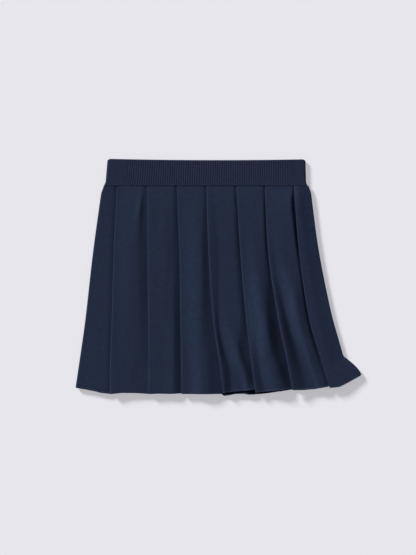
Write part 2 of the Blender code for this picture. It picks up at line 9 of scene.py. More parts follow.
import bpy
import numpy as np
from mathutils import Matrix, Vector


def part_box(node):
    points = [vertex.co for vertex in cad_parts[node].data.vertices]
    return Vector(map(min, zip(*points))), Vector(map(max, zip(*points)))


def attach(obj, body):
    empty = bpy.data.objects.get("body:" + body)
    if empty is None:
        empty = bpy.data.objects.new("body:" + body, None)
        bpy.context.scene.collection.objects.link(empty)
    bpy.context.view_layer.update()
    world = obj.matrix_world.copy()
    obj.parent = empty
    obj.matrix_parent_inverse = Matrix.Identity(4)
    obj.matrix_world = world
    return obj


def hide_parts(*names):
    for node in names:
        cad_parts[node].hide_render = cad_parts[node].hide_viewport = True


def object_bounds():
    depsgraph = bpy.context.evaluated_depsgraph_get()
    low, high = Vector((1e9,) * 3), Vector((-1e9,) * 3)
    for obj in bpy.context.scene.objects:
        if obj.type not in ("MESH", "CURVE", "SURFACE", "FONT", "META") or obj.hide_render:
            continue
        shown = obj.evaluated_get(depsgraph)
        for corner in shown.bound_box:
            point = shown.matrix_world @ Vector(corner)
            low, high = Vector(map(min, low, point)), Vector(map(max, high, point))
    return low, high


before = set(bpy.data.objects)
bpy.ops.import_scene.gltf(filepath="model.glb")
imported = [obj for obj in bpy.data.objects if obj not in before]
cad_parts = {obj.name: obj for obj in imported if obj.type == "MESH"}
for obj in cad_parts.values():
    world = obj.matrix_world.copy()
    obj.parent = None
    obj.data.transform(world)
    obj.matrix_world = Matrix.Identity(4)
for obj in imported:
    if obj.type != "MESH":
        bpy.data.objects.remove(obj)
cad_low, cad_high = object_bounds()

MM = 0.001

# Driving sizes, as the solids have them.
LENGTH = 353.5 * MM           # waist seam to the straight part of the hem
BAND_HEIGHT = 45.8 * MM       # waistband, at its two ends
CLOTH = 1.2 * MM              # thickness of the pleated knit
GAP = 0.3 * MM                # clearance between layers and at seams
PLEAT_CLOTH = 110.0 * MM      # cloth from one fold edge to the next
FOLDS = 7                     # fold edges on the front, and again on the back

# How the pleats lie.
LAYER = CLOTH + GAP           # rise from one layer of cloth to the next
TURN = LAYER / 2              # radius of a fold, on the middle line of the cloth
LOW = (GAP + CLOTH) / 2       # height of the innermost layer's middle line
HIGH = LOW + 2 * LAYER        # height of a face where it lies on its own pleat
PARTING = HIGH + CLOTH / 2    # height of the parting plane, so the back rests at zero
SIDE_ROUND = 1.6 * MM         # radius of a side fold, on the middle line
SIDE_HIGH = GAP / 2 + SIDE_ROUND
FRONT_ROOM = 22.0 * MM        # a pleat ends at least this far before the next fold or side
BACK_ROOM = 15.0 * MM
HIDDEN_ROLL = 0.8             # a hidden layer rolls down from its fold over this share of the width
CREASE_EDGE = 9.0 * MM        # width over which a crease dies away at a fold
BACK_ROLL = 12.0 * MM         # the back's folds lie pressed
BACK_REACH = 16.0 * MM        # width over which the back's faces sink towards the next fold
BACK_SHARPNESS = 1.5
BACK_SIDE_REACH = 12.0 * MM   # and towards its last side
BACK_GAP = 1.0 * MM
SHOULDER_TUCK = 2.5 * MM      # how far the sides are drawn in at the waist seam
SHOULDER_DROP = 14.0 * MM     # and how far down that reaches
FLARE_WIDTH = 21.6 * MM       # the corner that swings out at the wearer's left
FLARE_START = 0.90            # share of the way down where it begins

# How the folds are pressed, painted paler along their edges (partly wear, partly a painted highlight),
# and squeezed under the band. The solids leave this out.
PRESS = 0.6                   # a fold is pressed to this share of its round width
SIDE_WEAR_AND_HIGHLIGHT = 0.3               # the side folds are marked paler less than any point of the others: partly wear, partly a painted highlight
SEAM_SQUEEZE = 0.5            # share by which the stack of layers is thinner at the band's seam
SQUEEZE_REACH = 35.0 * MM     # and the distance over which most of that is gone
SQUEEZE_SIDES = (144.0 * MM, 162.0 * MM)    # it fades out between these distances from the middle

# Places of the fold edges and sides across the front, in mm, at five shares of the way down.
DOWN = (0.0, 1 / 3, 2 / 3, 0.85, 1.0)
#               waist   third   two thirds  low    hem
FRONT_EDGES = (
    ("right side", -176.3, -192.0, -205.0, -213.9, -221.5),
    ("fold 1",     -150.3, -155.8, -159.2, -161.5, -161.9),
    ("fold 2",      -99.3,  -98.0,  -96.8,  -96.4,  -97.1),
    ("fold 3",      -48.6,  -44.0,  -42.2,  -41.2,  -40.3),
    ("fold 4",        1.9,    5.6,   13.9,   23.8,   30.9),
    ("fold 5",       52.5,   59.8,   69.9,   77.8,   84.9),
    ("fold 6",      101.0,  106.9,  124.4,  138.0,  147.4),
    ("fold 7",      150.2,  159.4,  176.5,  195.4,  211.0),
    ("left side",   177.8,  192.1,  213.5,  229.8,  243.3),
)

# Height of each face's hem above the straight hem, in mm, at five shares of its width.
ACROSS_FACE = (0.0, 0.3, 0.62, 0.7, 1.0)
FRONT_RISE = (
    ("face 0",   10.4,    7.5,   3.6,   2.0,   0.0),
    ("face 1",    0.0,    1.8,   1.6,   1.4,   0.0),
    ("face 2",    0.0,    0.6,   0.2,   0.3,   1.0),
    ("face 3",    0.0,    0.0,   0.0,   0.0,   0.0),
    ("face 4",    2.0,    3.6,   5.3,   5.6,   7.5),
    ("face 5",    2.4,    4.0,   6.2,   6.6,   8.6),
    ("face 6",    7.0,    7.0,   8.6,  10.0,  13.0),
    ("face 7",   10.5,   12.2,  20.6,  23.2,  31.8),
)

# Height of the back's hem above the straight hem, in mm, by its place across the front.
BACK_HEM_PLACE = (-221.5, -185.0, -181.0, -170.0, 25.0, 31.0, 38.0, 52.0, 66.0, 72.0, 80.0,
                  95.0, 108.0, 134.0, 209.5, 264.9)
BACK_HEM_RISE = (10.4, 4.6, 3.0, 2.0, 1.0, -3.4, -2.8, 0.0, 0.3, -1.2, -1.1,
                 -0.3, 1.2, 5.2, 16.0, 31.8)

# Along each fold edge, at these shares of the way down: how far it stands off the layers under
# it, how far the lowest layer rises with it, over what width both roll back down, from how far
# off the face before it starts to sink under it, how sharply (1 is an even slope), and the open
# gap left between the two. All but the sharpness in mm.
FOLD_DOWN = (0.0, 0.08, 0.25, 0.5, 0.68, 0.8, 0.9, 1.0)
FRONT_LIFT = (
    ("fold 1",  0.0,  0.0,  0.3,  0.3,  0.3,  0.3,  0.7,  1.8),
    ("fold 2",  0.3,  1.2,  1.3,  1.2,  1.1,  1.1,  1.3,  1.3),
    ("fold 3",  0.3,  0.3,  0.5,  0.5,  0.5,  0.5,  0.5,  0.5),
    ("fold 4",  0.5,  1.2,  2.0,  2.0,  3.0,  4.9,  5.0,  2.6),
    ("fold 5",  0.0,  0.0,  0.4,  1.0,  2.6,  3.6,  3.4,  2.8),
    ("fold 6",  0.0,  0.0,  0.5,  3.0,  7.0,  8.4,  6.6,  4.6),
    ("fold 7",  0.3,  1.5,  1.4,  1.6,  2.1,  2.3,  2.3,  2.1),
)
FRONT_GROUND = (
    ("fold 1",  0.0,  0.0,  0.0,  0.0,  0.0,  0.0,  0.0,  0.0),
    ("fold 2",  0.2,  1.0,  1.2,  1.1,  1.0,  1.0,  1.2,  1.2),
    ("fold 3",  0.0,  0.3,  0.5,  0.3,  0.0,  0.0,  0.0,  0.0),
    ("fold 4",  0.0,  0.8,  1.7,  1.9,  1.5,  1.2,  0.8,  0.3),
    ("fold 5",  0.0,  0.0,  0.0,  0.0,  0.0,  0.0,  0.9,  2.7),
    ("fold 6",  0.0,  0.0,  0.0,  0.0,  0.0,  0.0,  0.0,  0.0),
    ("fold 7",  0.0,  0.0,  0.2,  1.2,  2.0,  2.2,  2.2,  2.0),
    ("side",    0.0,  0.0,  0.0,  0.0,  0.0,  0.0,  0.0,  0.0),
)
FRONT_ROLL = (
    ("fold 1", 10.0, 10.0, 12.0, 12.0, 12.0, 12.0, 20.0, 30.0),
    ("fold 2", 10.0, 22.0, 26.0, 28.0, 28.0, 30.0, 30.0, 30.0),
    ("fold 3", 10.0, 10.0, 12.0, 12.0, 12.0, 12.0, 12.0, 12.0),
    ("fold 4", 10.0, 14.0, 20.0, 15.0, 10.0, 12.0, 18.0, 13.0),
    ("fold 5", 10.0, 10.0, 12.0, 16.0, 20.0, 15.0, 15.0, 16.0),
    ("fold 6", 10.0, 10.0, 11.0, 13.0, 18.0, 22.0, 26.0, 30.0),
    ("fold 7", 24.0, 26.0, 30.0, 34.0, 36.0, 38.0, 40.0, 44.0),
)
FRONT_REACH = (
    ("fold 1",  8.0,  8.0,  9.0, 10.0, 10.0, 10.0, 10.0, 10.0),
    ("fold 2",  9.0,  9.0, 14.0, 16.0, 17.0, 20.0, 30.0, 36.0),
    ("fold 3",  8.0,  9.0, 11.0, 12.0, 12.0, 13.0, 14.0, 14.0),
    ("fold 4",  8.0,  9.0, 10.5, 11.0, 14.0, 19.0, 24.0, 26.0),
    ("fold 5",  7.0,  8.0, 11.0, 13.0, 12.0, 19.0, 15.0, 11.0),
    ("fold 6",  6.0,  6.0,  7.0, 13.0, 22.0, 23.0, 18.0, 12.0),
    ("fold 7",  4.0,  6.5,  5.0,  4.0,  6.0,  8.0,  8.0,  8.0),
    ("side",   20.0, 20.0, 20.0, 20.0, 20.0, 20.0, 22.0, 26.0),
)
FRONT_SHARPNESS = (
    ("fold 1", 2.0, 2.0, 2.0, 2.0, 2.0, 2.0, 2.0, 2.0),
    ("fold 2", 2.0, 1.4, 1.5, 1.6, 1.6, 1.4, 1.1, 1.1),
    ("fold 3", 2.0, 1.8, 1.8, 1.6, 1.5, 1.5, 1.6, 1.6),
    ("fold 4", 2.0, 2.0, 2.0, 2.0, 2.0, 2.0, 1.8, 1.8),
    ("fold 5", 2.0, 2.2, 2.4, 2.2, 1.8, 1.3, 1.7, 1.4),
    ("fold 6", 2.0, 2.2, 2.4, 2.0, 1.5, 1.4, 1.5, 1.5),
    ("fold 7", 1.6, 1.1, 1.1, 1.6, 1.8, 1.6, 1.6, 1.6),
    ("side",   1.2, 1.2, 1.2, 1.2, 1.2, 1.2, 1.2, 1.2),
)
FRONT_GAP = (
    ("fold 1", 1.0, 1.0, 1.0, 1.0, 1.0, 1.0, 1.0, 1.0),
    ("fold 2", 1.0, 1.0, 1.0, 1.0, 1.0, 1.0, 1.0, 1.0),
    ("fold 3", 1.0, 1.0, 1.0, 1.0, 1.0, 1.0, 1.0, 1.0),
    ("fold 4", 1.0, 1.0, 1.0, 1.0, 1.0, 1.0, 1.0, 1.0),
    ("fold 5", 1.0, 1.0, 1.0, 1.0, 1.0, 1.0, 1.0, 1.0),
    ("fold 6", 1.0, 1.0, 1.0, 1.0, 1.0, 1.0, 1.0, 1.0),
    ("fold 7", 0.0, 1.2, 1.2, 1.0, 0.5, 0.5, 0.5, 0.5),
    ("side",   0.0, 0.0, 0.0, 0.0, 0.0, 0.0, 0.0, 0.0),
)

# Soft creases, by the number of the face that they lie in, in mm: along each, its place across,
# how high it stands, and how far it reaches to either side.
#     down  across  high  left right
FRONT_CREASES = (
    (1, ((  0, -128.0, 0.0, 18.0, 14.0),
         ( 60, -126.0, 1.4, 18.0, 14.0),
         (140, -124.0, 1.9, 20.0, 20.0),
         (210, -124.0, 1.2, 18.0, 20.0),
         (280, -124.0, 0.0, 16.0, 18.0))),
    (1, ((  8, -109.0, 0.0,  5.0,  3.5),
         ( 24, -111.0, 1.4,  6.0,  3.5),
         ( 38, -111.8, 1.9,  6.0,  3.5),
         ( 52, -113.6, 1.6,  7.0,  4.0),
         ( 75, -114.5, 0.8,  7.0,  5.0),
         (110, -116.0, 0.0,  8.0,  8.0))),
    (2, ((  0,  -72.0, 0.0, 14.0, 12.0),
         ( 60,  -70.0, 1.0, 14.0, 12.0),
         (110,  -70.0, 1.4, 16.0, 12.0),
         (200,  -72.0, 0.8, 14.0, 12.0),
         (260,  -72.0, 0.0, 14.0, 12.0))),
    (2, ((150,  -58.0, 0.0, 20.0,  8.0),
         (190,  -57.0, 0.9, 20.0,  8.0),
         (354,  -55.5, 1.0, 20.0,  8.0))),
    (3, (( 10,  -18.0, 0.0, 14.0, 12.0),
         ( 60,  -13.0, 1.7, 18.0, 12.0),
         (110,  -10.0, 2.8, 20.0, 10.0),
         (180,   -9.0, 3.2, 20.0, 10.0),
         (240,  -10.0, 3.3, 18.0, 13.0),
         (290,   -8.0, 3.4, 14.0, 18.0),
         (330,   -6.0, 3.4, 13.0, 22.0),
         (356,   -7.0, 3.4, 12.0, 24.0))),
    (4, ((200,   30.0, 0.0, 14.0, 14.0),
         (240,   41.0, 1.6, 12.0, 12.0),
         (290,   54.0, 4.4, 10.0, 11.0),
         (315,   63.0, 4.4, 10.0, 11.0),
         (330,   68.0, 3.6,  8.0, 12.0),
         (345,   71.0, 2.6,  6.0, 13.0),
         (356,   73.0, 2.2,  5.0, 13.0))),
    (5, (( 60,   80.0, 0.0, 14.0, 14.0),
         (110,   83.0, 1.2, 12.0, 12.0),
         (145,   87.0, 2.2, 14.0, 12.0),
         (178,   91.0, 4.2, 15.0, 14.0),
         (212,   95.0, 6.2, 16.0, 16.0),
         (238,  100.0, 7.8, 17.0, 18.0),
         (263,  102.0, 8.6, 17.0, 20.0),
         (289,  106.0, 8.2, 16.0, 20.0),
         (311,  113.0, 7.0, 16.0, 20.0),
         (340,  120.0, 5.2, 15.0, 17.0),
         (356,  124.0, 4.4, 15.0, 16.0))),
    (6, ((  6,  147.0, 0.0, 24.0,  3.0),
         ( 22,  145.5, 2.2, 26.0,  3.0),
         ( 50,  147.0, 2.2, 26.0,  3.0),
         ( 90,  151.5, 1.2, 24.0,  3.0),
         (130,  156.0, 0.0, 20.0,  3.0))),
    (6, (( 60,  122.0, 0.0, 12.0, 20.0),
         (110,  128.0, 1.0, 12.0, 18.0),
         (144,  136.0, 2.0, 12.0, 14.0),
         (178,  147.0, 4.6, 12.0, 14.0),
         (212,  153.0, 7.0, 10.5, 15.0),
         (238,  159.0, 7.0,  9.5, 16.0),
         (263,  166.0, 6.0,  8.5, 17.0),
         (289,  174.0, 4.8,  6.5, 18.0),
         (311,  180.0, 3.2,  5.0, 18.0),
         (328,  185.0, 2.2,  4.0, 18.0),
         (345,  190.0, 2.2,  3.5, 18.0),
         (356,  193.0, 2.2,  3.5, 18.0))),
)
# The back's are hollows, at places seen from behind.
BACK_CREASES = (
    (1, ((190, -131.0, 0.0, 4.0, 4.0),
         (260, -139.0, -0.6, 4.0, 4.0),
         (354, -150.5, -0.9, 5.0, 5.0))),
    (3, ((120,  -20.0, 0.0, 4.0, 4.0),
         (230,  -26.0, -0.7, 4.0, 4.0),
         (354,  -35.0, -0.6, 5.0, 5.0))),
    (4, ((250,   27.5, 0.0, 4.0, 4.0),
         (310,   25.0, -0.8, 4.0, 4.0),
         (354,   22.5, -1.0, 4.5, 6.0))),
    (6, ((160,  138.0, 0.0, 4.0, 4.0),
         (280,  138.5, -0.7, 4.0, 4.0),
         (354,  139.5, -0.5, 5.0, 5.0))),
)

# Waistband.
BAND_WALL = 3.0 * MM          # the rib is folded double
BAND_SLIT = 0.6 * MM          # between the band's two walls, laid together
BAND_HALF = BAND_WALL + BAND_SLIT / 2    # half of the flat band's thickness, without the ribs
BAND_START = (-171.0 * MM, -167.1 * MM)  # place of its end at -X, at the seam and at the top
BAND_END = (170.9 * MM, 169.7 * MM)      # and of its end at +X
BAND_DIP = 1.7 * MM           # the top edge is lower in the middle
BAND_LEAN = 0.8 * MM          # and higher at -X than at +X
BAND_REST = -0.7              # below this direction the ribs are cut in, so that the band rests flat
RIB_PITCH = 3.87 * MM
RIB_HEIGHT = 0.45 * MM
RIB_FULLNESS = 0.6            # below 1 a rib is flatter on top and its groove narrower
RIB_FADE = (18.0 * MM, 40.0 * MM)    # the ribs flatten out between these distances from the ends
RIB_FAINTEST = 0.15           # and keep this share of their height there
RIB_AT_TOP = 0.3              # and this share at the band's top edge
TOP_ROUND = (1.0 * MM, 1.6 * MM)     # depth and width of the rounding at the band's top edge
SEAM_ROUND = (0.3 * MM, 0.5 * MM)    # and at its seam
SEAM_LIP = (0.12 * MM, 1.2 * MM)     # the band swells by this much, this far above its seam
END_ROUND = (2.8 * MM, 2.6 * MM)     # how far, and over what height, its top corners are rounded
END_SPREAD = (2.4 * MM, 9.0 * MM)    # and how far, and over what height, its ends widen to the seam

# The hem: a rounded edge, a fine bead above it on the loose faces, and a line above the bead.
HEM_ROUND = 0.6 * MM
HEM_THINNEST = 0.3            # share of the cloth's thickness left at the very edge
HEM_BEAD = (0.25, 0.0, 0.0, 0.0, 0.55, 0.6, 0.5, 0.3)    # height in mm, on each face of the front
BEAD_AT_EDGE = 0.5            # share of the bead's height left at the very edge
BEAD_CREST = 0.9 * MM         # how far above the edge the bead stands highest
BEAD_REACH = 2.6 * MM         # and where it starts
HEM_LINE = (0.4, 0.0, 0.0, 0.0, 0.1, 0.1, 0.1, 0.0)    # depth in mm, on each face of the front
LINE_PLACE = 4.1 * MM         # how far above the edge the line runs
LINE_WIDTH = 0.7 * MM
HEM_CLEAR = 2.0 * MM          # both fade out over this width at a fold

# Where a strip of the back's hem shows below the front's, it curls up towards it.
HEM_CURL = 6.0 * MM           # the most that it curls up
CURL_SHARE = 0.7              # its height as a share of the strip's width
CURL_RISE = (0.2, 0.6)        # shares of the strip, from its edge, where it is whole and where it starts
CURL_LEAST = 0.5 * MM         # a strip narrower than this lies flat

# Fineness of the meshes. The rows close to a seam or an edge are given by their distance from it,
# in mm.
ROWS = 104                    # of each panel, from the seam to the hem
SEAM_ROWS = (0.0, 0.8, 1.8, 3.0, 5.0, 8.0)
HEM_ROWS = (10.0, 8.2, 6.5, 5.2, 4.6, 4.1, 3.6, 3.1, 2.6, 2.1, 1.6, 1.2, 0.8, 0.45, 0.18, 0.0)
CUT_SAMPLES = 5               # sections over which the width of a panel's cloth is measured
FACE_STEPS = 32               # points across a face
UNDER_STEPS = 6               # steps along each hidden layer
INNER_TURN_STEPS = 5          # round the fold at a pleat's inside
OUTER_TURN_STEPS = 8          # round its fold edge
SIDE_STEPS = 6                # round a side fold
RIB_STEPS = 8                 # over each rib
BAND_SEAM_ROWS = (0.0, 0.15, 0.35, 0.6, 1.1, 1.7, 2.4, 3.2)
BAND_TOP_ROWS = (3.0, 2.2, 1.5, 0.9, 0.45, 0.15, 0.0)
BAND_MIDDLE_ROWS = 12         # between those two
SHARP_ANGLE = 50.0            # edges sharper than this, in degrees, aren't shaded smooth

# The knit: its colour, and how wide and how high a stitch is.
PLEAT_COLOUR = (0.0145, 0.0214, 0.0464)
PLEAT_STITCH = (1.9 * MM, 1.4 * MM)
RIB_COLOUR = (0.0149, 0.0199, 0.0446)
RIB_STITCH = (RIB_PITCH / 2, 1.5 * MM)
LEG_LEAN = 0.5                # a stitch's legs are higher at its sides by this share of its height
LEG_DEPTH = 0.5               # share of its relief that runs along the legs
WALE_POWER = 3.0              # the higher, the narrower the groove between two stitches

# Scale and detail of its uneven tone, of its grain and of its fine fuzz.
MOTTLE = (120.0, 3.0)
GRAIN = (330.0, 1.0)
FUZZ = (2600.0, 2.0)

# How much of its tone each gives: a base, the stitches (their grooves darker and tops paler: painted
# shade), the mottle, the grain, and fold edges painted paler (partly wear, partly a painted highlight).
BASE_TONE = 0.86
# the stitches' grooves darker and their tops paler: painted shade of the knit's relief
STITCH_PAINTED_SHADE = 0.22
MOTTLE_TONE = 0.24
GRAIN_TONE = 0.5
# fold edges paler: partly wear, partly a painted highlight where they catch the light
WEAR_AND_HIGHLIGHT_TONE = 0.02
ROUGHNESS = 0.82
FUZZ_ROUGHNESS = 0.12         # added where the fuzz is thickest
FUZZ_HEIGHT = 0.35            # as a share of a stitch's height
BUMP_STRENGTH = 0.6
BUMP_HEIGHT = 0.25 * MM
SPECULAR = 0.08
SHEEN = 0.04
SHEEN_ROUGHNESS = 0.5
SHEEN_TINT = (0.35, 0.45, 0.8, 1.0)

# The floor and the light.
FLOOR_TINT = (0.799, 0.791, 0.838)
FLOOR_ALBEDO = 0.48           # share of the floor's brightness that comes from the light,
FLOOR_GLOW = 0.52             # and share that it has of itself
FLOOR_HALF = 3.0              # from its middle to its edges
FLOOR_DROP = 0.2 * MM         # the floor lies this far below the skirt
SUN_ELEVATION = 22.0          # degrees above the floor
SUN_BEARING = 135.0           # the sun stands to the upper left of the photograph
SUN_SOFTNESS = 12.0           # degrees that it is wide
SUN_SHARE = 0.78              # share of the floor's light that the sun gives

# The photograph's frame: its size and scale, and where the middle of the waist seam lies in it.
PHOTO_WIDTH = 416
PHOTO_HEIGHT = 555
MM_PER_PIXEL = 1.70
WAIST_PIXEL = (205.7, 186.0)
SENSOR = 36.0                 # mm, along the frame's longer side
CAMERA_HEIGHT = 2.2           # above the cloth
CLOTH_LEVEL = 6.0 * MM        # height of the cloth's faces, where the scale holds
CAMERA_RANGE = 20.0           # the farthest that it sees

# The middle of the waist seam in the model's frame, from the front's corner at -X and its top.
front_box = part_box("skirt_front")
WAIST = (front_box[0][0] - FRONT_EDGES[0][-1] * MM, front_box[1][1])


# ---------------------------------------------------------------- curves and tables

def ease(place, start, end):
    """Go smoothly from 0 at start to 1 at end."""
    share = np.clip((place - start) / (end - start), 0.0, 1.0)
    return share * share * (3.0 - 2.0 * share)


def mix(first, second, share):
    """Go straight from first to second."""
    return first + (second - first) * share


def slope(stations, values, index):
    """Slope of a table at one of its stations."""
    before = max(index - 1, 0)
    after = min(index + 1, len(stations) - 1)
    return (values[after] - values[before]) / (stations[after] - stations[before])


def follow(stations, values, place):
    """Read a table anywhere between its stations, on a smooth curve through its values."""
    index = sum(1 for station in stations[1:-1] if station <= place)
    span = stations[index + 1] - stations[index]
    share = (place - stations[index]) / span
    rise = ease(share, 0.0, 1.0)
    leave = slope(stations, values, index) * span * share * (1.0 - share) ** 2
    arrive = slope(stations, values, index + 1) * span * share ** 2 * (share - 1.0)
    return mix(values[index], values[index + 1], rise) + leave + arrive


# ---------------------------------------------------------------- the two panels' shapes

def plain_edge(number, share):
    """Place across of a side or fold edge of the front, without the tuck and the flare."""
    return follow(DOWN, FRONT_EDGES[number][1:], share) * MM


def front_edge(number, share):
    """Place across of a side (0 and 8) or fold edge (1 to 7) of the front."""
    place = plain_edge(number, share)
    tuck = SHOULDER_TUCK * (1.0 - ease(share * LENGTH, 0.0, SHOULDER_DROP))
    if number == 0:
        place += tuck
    if number == FOLDS + 1:
        turned = max(share - FLARE_START, 0.0) / (1.0 - FLARE_START)
        place += FLARE_WIDTH * math.sin(turned * math.pi / 2) - tuck
    return place


def back_edge(number, share):
    """Place across of a side or fold edge of the back, seen from behind."""
    if number in (0, FOLDS + 1):
        return -front_edge(FOLDS + 1 - number, share)
    start = -plain_edge(FOLDS + 1, share)
    end = -plain_edge(0, share)
    at_waist = (number - 0.5) / FOLDS
    at_hem = number / (FOLDS + 1)
    return mix(start, end, mix(at_waist, at_hem, share))


def front_rise(number, share_across, _place):
    """Height of the front's hem above the straight hem, on one face."""
    return np.interp(share_across, ACROSS_FACE, FRONT_RISE[number][1:]) * MM


def back_rise(_number, _share_across, place):
    """Height of the back's hem above the straight hem, at a place seen from behind."""
    return np.interp(-place / MM, BACK_HEM_PLACE, BACK_HEM_RISE) * MM


def front_fold(table, number, share):
    """Read one of the front's fold tables, for one fold edge or the side after the last."""
    return follow(FOLD_DOWN, table[number - 1][1:], share)


def front_stand(number, share):
    """How far a fold edge of the front stands up, and over what width it rolls back down."""
    return front_fold(FRONT_LIFT, number, share) * MM, front_fold(FRONT_ROLL, number, share) * MM


def front_ground(number, share):
    """How far the lowest layer rises with a fold edge of the front."""
    return front_fold(FRONT_GROUND, number, share) * MM


def front_sink(number, share):
    """How the face before a fold edge sinks under it: its reach, sharpness and gap."""
    reach = front_fold(FRONT_REACH, number, share) * MM
    gap = front_fold(FRONT_GAP, number, share) * MM
    return reach, front_fold(FRONT_SHARPNESS, number, share), gap


def back_stand(_number, _share):
    """The back lies pressed flat under the front."""
    return 0.0, BACK_ROLL


def back_ground(_number, _share):
    """The back's lowest layers lie flat."""
    return 0.0


def back_sink(number, _share):
    """The back's faces all sink alike, and the last one less far from its side."""
    return (BACK_SIDE_REACH if number > FOLDS else BACK_REACH), BACK_SHARPNESS, BACK_GAP


def front_hem(number, above):
    """Height of the hem's bead and line on a face of the front, at distances above its edge."""
    inside = 1.0 - (1.0 - BEAD_AT_EDGE) * (1.0 - above / BEAD_CREST) ** 2
    bead = np.where(above < BEAD_CREST, inside, 1.0 - ease(above, BEAD_CREST, BEAD_REACH))
    line = np.exp(-((above - LINE_PLACE) / LINE_WIDTH) ** 2)
    return (HEM_BEAD[number] * bead - HEM_LINE[number] * line) * MM


def back_hem(_number, _above):
    """The back's hem is plain."""
    return 0.0


def hem_strips():
    """Places across the front, and how far the back's hem reaches below the front's at each."""
    places = []
    strips_below = []
    for number in range(FOLDS + 1):
        first = front_edge(number, 1.0) + TURN
        last = front_edge(number + 1, 1.0) - TURN
        for share_across in ACROSS_FACE:
            across = mix(first, last, share_across)
            places.append(across)
            rise = front_rise(number, share_across, across)
            strips_below.append(float(rise - back_rise(number, share_across, -across)))
    return np.array(places), np.array(strips_below)


def front_curl(_place, _share):
    """The front's hem lies as its faces do."""
    return 0.0


def back_curl(place, share):
    """How far the back's hem curls up at places seen from behind, where it shows."""
    strip = np.interp(-place, *hem_strips())
    above = (1.0 - share) * (LENGTH - back_rise(0, 0.0, place))
    raised = 1.0 - ease(above / np.maximum(strip, CURL_LEAST), *CURL_RISE)
    return np.clip(CURL_SHARE * (strip - CURL_LEAST), 0.0, HEM_CURL) * raised


# What tells the two panels apart.
FRONT = {
    "edge": front_edge,
    "rise": front_rise,
    "stand": front_stand,
    "ground": front_ground,
    "sink": front_sink,
    "hem": front_hem,
    "curl": front_curl,
    "creases": FRONT_CREASES,
    "room": FRONT_ROOM,
    "outward": 1.0,
}
BACK = {
    "edge": back_edge,
    "rise": back_rise,
    "stand": back_stand,
    "ground": back_ground,
    "sink": back_sink,
    "hem": back_hem,
    "curl": back_curl,
    "creases": BACK_CREASES,
    "room": BACK_ROOM,
    "outward": -1.0,
}


def crease_height(panel, number, across, share):
    """Height of the soft creases at points of one face, on one row."""
    height = np.zeros_like(across)
    down = share * LENGTH / MM
    for face, rows in panel["creases"]:
        if face != number or down < rows[0][0] or down > rows[-1][0]:
            continue
        stations = [row[0] for row in rows]
        values = [follow(stations, [row[column] for row in rows], down) for column in (1, 2, 3, 4)]
        place, top, left, right = values
        aside = across / MM - place
        height += top * MM * np.exp(-(aside / np.where(aside < 0.0, left, right)) ** 2)
    return height


def rolled(place, edge, lift, roll):
    """Height that a standing fold edge still gives at a place beside it."""
    return lift * (1.0 - ease(place, edge + TURN, edge + roll))


def overlap(panel, number, share):
    """Depth of a pleat: half of the cloth that a face of mean width leaves over."""
    edge = panel["edge"]
    mean_width = (edge(FOLDS, share) - edge(1, share)) / (FOLDS - 1)
    room = edge(number + 1, share) - edge(number, share) - panel["room"]
    return min((PLEAT_CLOTH - mean_width) / 2, room)


def cut_length(panel, number, share_across, place):
    """Length of the cloth from the waist seam to the hem, at a point of a face."""
    return LENGTH - panel["rise"](number, share_across, place)


def down_at(panel, number, share_across, place, share):
    """Distance down from the waist seam to one section, at a point of a face."""
    return share * cut_length(panel, number, share_across, place)


def face_line(panel, number, share):
    """Middle line of one visible face as rows of (across, down, out, worn)."""
    start = panel["edge"](number, share)
    end = panel["edge"](number + 1, share)
    first = start + (PRESS * TURN if number else CLOTH / 2 + SIDE_ROUND)
    last = end - (CLOTH / 2 + SIDE_ROUND if number == FOLDS else 0.0)
    lift, roll = panel["stand"](number, share) if number else (0.0, BACK_ROLL)
    reach, sharpness, gap = panel["sink"](number + 1, share)
    level = HIGH if number else SIDE_HIGH
    ground = SIDE_HIGH if number == FOLDS else LOW + panel["ground"](number + 1, share)
    parts = np.linspace(0.0, 1.0, FACE_STEPS)
    place = mix(first, last, parts)
    share_across = (place - start) / (end - start)
    down = down_at(panel, number, share_across, place, share)
    window = ease(place, first, first + CREASE_EDGE)
    out = level + rolled(place, start, lift, roll)
    out += window * crease_height(panel, number, place, share)
    sunk = np.clip((place - (last - gap - reach)) / reach, 0.0, 1.0) ** sharpness
    out = mix(out, ground, sunk)
    above = (1.0 - share) * cut_length(panel, number, share_across, place)
    clear = ease(place, first, first + HEM_CLEAR)
    clear *= 1.0 - ease(place, last - 2 * HEM_CLEAR, last - HEM_CLEAR)
    out += clear * panel["hem"](number, above)
    return np.stack([place, down, out, np.zeros_like(place)], axis=1)


def arc(centre, radius, start, end, steps, wide=1.0):
    """Points on an arc, in degrees, without its first and last; wide below 1 presses it narrow."""
    angles = np.radians(np.linspace(start, end, steps + 1)[1:-1])
    across = centre[0] + wide * radius * np.cos(angles)
    out = centre[1] + radius * np.sin(angles)
    return list(zip(across, out))


def squeeze_at(across, down):
    """Share of its height that the stack of layers keeps, near the band's seam."""
    squeezed = SEAM_SQUEEZE * (1.0 - ease(np.abs(across), *SQUEEZE_SIDES))
    return 1.0 - squeezed * np.exp(-down / SQUEEZE_REACH)


def pleat_profile(panel, number, share):
    """Places across and heights of the two layers behind one fold edge, from the inside out."""
    edge = panel["edge"](number, share)
    inner = edge + overlap(panel, number, share) - TURN
    outer = edge + PRESS * TURN
    lift, roll = panel["stand"](number, share)
    rise = panel["ground"](number, share)

    def lowest(place):
        return LOW + float(rolled(place, edge, rise, HIDDEN_ROLL * roll))

    def middle(place):
        return LOW + LAYER + float(rolled(place, edge, lift, HIDDEN_ROLL * roll))

    parts = np.linspace(0.0, 1.0, UNDER_STEPS + 1)
    flat = [(place, lowest(place)) for place in mix(edge, inner, parts[1:])]
    centre = (inner, (lowest(inner) + middle(inner)) / 2)
    radius = (middle(inner) - lowest(inner)) / 2
    wide = float(squeeze_at(inner, share * LENGTH))
    flat += arc(centre, radius, -90, 90, INNER_TURN_STEPS, wide)
    flat += [(place, middle(place)) for place in mix(inner, outer, parts)]
    flat += arc((outer, HIGH + lift - TURN), TURN, 270, 90, OUTER_TURN_STEPS, PRESS)
    return np.array(flat)


